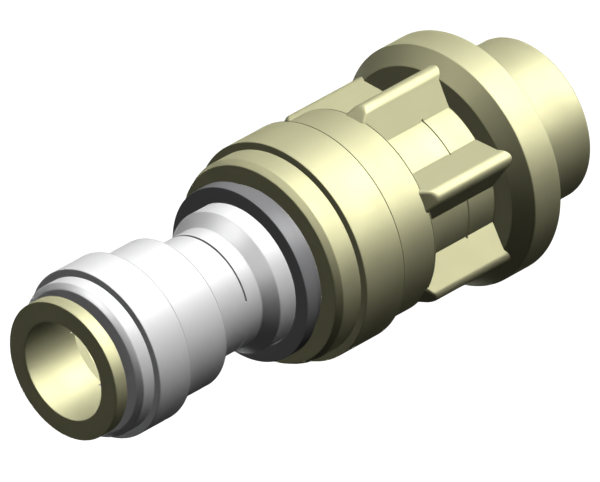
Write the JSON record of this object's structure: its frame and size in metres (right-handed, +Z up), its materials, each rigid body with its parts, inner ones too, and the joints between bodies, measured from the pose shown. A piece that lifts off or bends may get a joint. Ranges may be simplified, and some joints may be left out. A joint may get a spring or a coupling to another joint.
{
  "type": "hose adapter",
  "caption": "Hose adapter: a flanged, ribbed coupling with a hose spigot, and a push-fit reducer plugged into its socket to take a smaller tube.",
  "frame": {"origin": "on the axis, at the rim of the hose spigot that the adapter stands on", "axes": "+Z up along the common axis, from the hose end to the tube end; +X through the crest of one rib"},
  "size_m": [0.0379, 0.0378, 0.0959],
  "materials": {
    "cream_plastic": "satin moulded",
    "white_plastic": "satin moulded",
    "grey_plastic": "satin moulded",
    "collet_plastic": "satin moulded",
    "seal_rubber": "matt",
    "tooth_steel": "bright"
  },
  "bodies": {
    "coupling": {"coupling_body": "cream_plastic", "coupling_end_cap": "cream_plastic", "stem_seal": "seal_rubber", "stem_spacer": "white_plastic"},
    "reducer": {"reducer_body": "white_plastic", "reducer_end_cap": "white_plastic", "tube_seal": "seal_rubber", "tube_spacer": "white_plastic"},
    "stem_collet": {"stem_collet": "grey_plastic", "stem_collet_teeth": "tooth_steel"},
    "tube_collet": {"tube_collet": "collet_plastic", "tube_collet_teeth": "tooth_steel"}
  },
  "joints": [
    {"name": "reducer_swivel", "type": "hinge", "parent": "coupling", "child": "reducer", "pos_m": [0, 0, 0.041], "axis": [0, 0, 1], "continuous": true},
    {"name": "stem_collet_press", "type": "slide", "parent": "reducer", "child": "stem_collet", "axis": [0, 0, -1], "range_m": [0, 0.0016]},
    {"name": "tube_collet_press", "type": "slide", "parent": "reducer", "child": "tube_collet", "axis": [0, 0, -1], "range_m": [0, 0.0013]}
  ]
}
